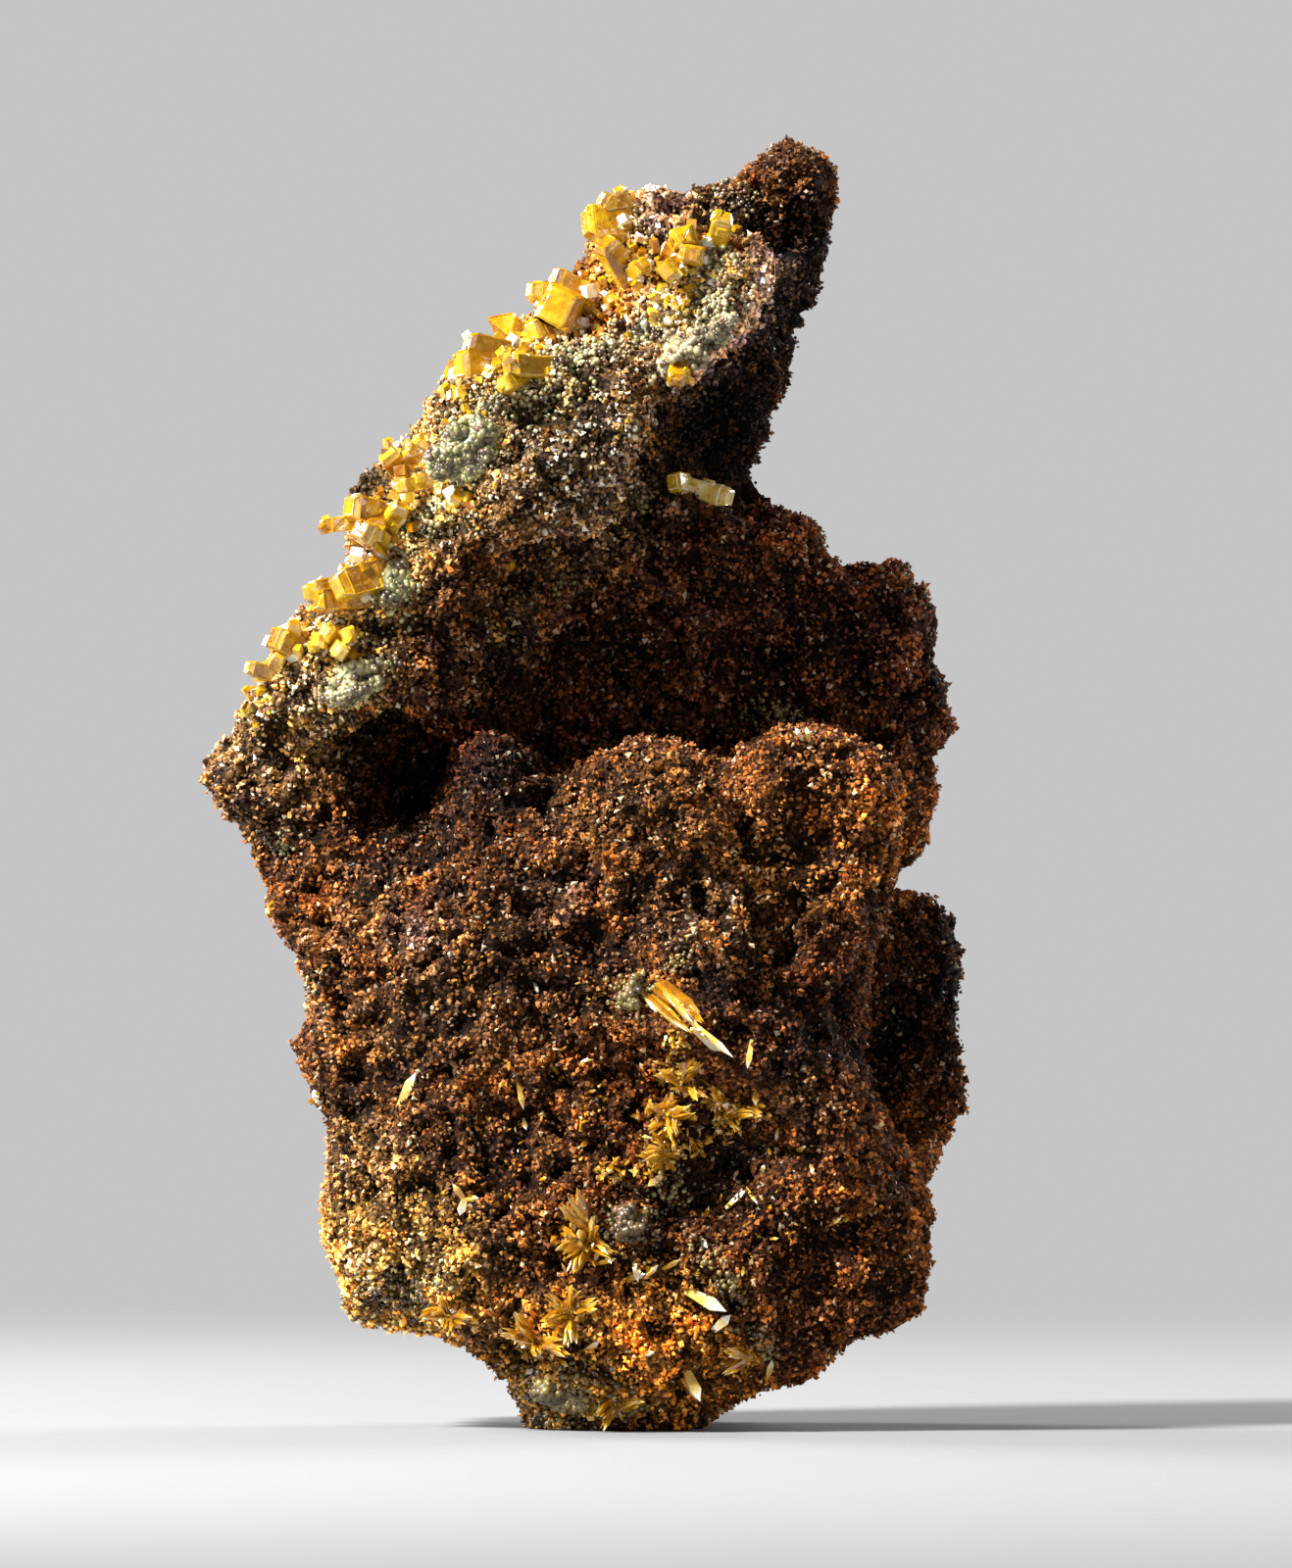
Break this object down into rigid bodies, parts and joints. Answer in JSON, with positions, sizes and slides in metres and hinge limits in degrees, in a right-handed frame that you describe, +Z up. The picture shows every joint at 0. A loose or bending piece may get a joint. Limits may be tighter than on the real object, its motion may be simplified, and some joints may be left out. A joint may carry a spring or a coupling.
{
  "type": "mineral specimen",
  "caption": "Upright cabinet specimen of porous brown limonite rock with honey-yellow wulfenite crystals, thin blades in rosettes, and pale green grape-like mimetite crusts.",
  "frame": {"origin": "middle of the flat foot that the specimen stands on", "axes": "+Z up; the matrix side faces -Y, the display side with the larger crystals faces +Y; X runs across the matrix side from left to right"},
  "size_m": [0.0903, 0.0787, 0.1505],
  "materials": {
    "limonite": "rough, granular",
    "wulfenite": "waxy to glassy",
    "mimetite": "resinous, satin"
  },
  "bodies": {
    "root": {"limonite_matrix": "limonite", "mimetite_back_lower_crust": "mimetite", "mimetite_back_middle_crust": "mimetite", "mimetite_central_crust": "mimetite", "mimetite_foot_crust": "mimetite", "mimetite_left_ridge_crust": "mimetite", "mimetite_lower_ridge_crust": "mimetite", "mimetite_ridge_crust": "mimetite", "mimetite_round_boss": "mimetite", "mimetite_shelf_crust": "mimetite", "wulfenite_back_crown_tablet": "wulfenite", "wulfenite_back_flank_group": "wulfenite", "wulfenite_back_foot_tablets": "wulfenite", "wulfenite_back_low_left_plate": "wulfenite", "wulfenite_back_lower_group": "wulfenite", "wulfenite_back_main_group": "wulfenite", "wulfenite_back_main_plate": "wulfenite", "wulfenite_back_middle_group": "wulfenite", "wulfenite_back_neck_group": "wulfenite", "wulfenite_back_upper_group": "wulfenite", "wulfenite_big_blocks": "wulfenite", "wulfenite_branching_crust_left": "wulfenite", "wulfenite_branching_crust_right": "wulfenite", "wulfenite_corner_cluster": "wulfenite", "wulfenite_crossed_blades": "wulfenite", "wulfenite_fan": "wulfenite", "wulfenite_foot_cluster": "wulfenite", "wulfenite_glinting_tablets": "wulfenite", "wulfenite_large_blades": "wulfenite", "wulfenite_left_edge_block": "wulfenite", "wulfenite_left_edge_tablets": "wulfenite", "wulfenite_left_ridge_cluster": "wulfenite", "wulfenite_left_tablets_upper": "wulfenite", "wulfenite_left_wedge": "wulfenite", "wulfenite_long_prisms": "wulfenite", "wulfenite_lying_prisms": "wulfenite", "wulfenite_pale_prism": "wulfenite", "wulfenite_ridge_lying_prism": "wulfenite", "wulfenite_ridge_slanted_pair": "wulfenite", "wulfenite_right_fan": "wulfenite", "wulfenite_rosette_right": "wulfenite", "wulfenite_shelf_blocks": "wulfenite", "wulfenite_shelf_left_prism": "wulfenite", "wulfenite_shelf_upright_prism": "wulfenite", "wulfenite_star": "wulfenite", "wulfenite_tall_rosette": "wulfenite", "wulfenite_top_wedge": "wulfenite", "wulfenite_under_shelf_prism": "wulfenite"}
  },
  "joints": []
}
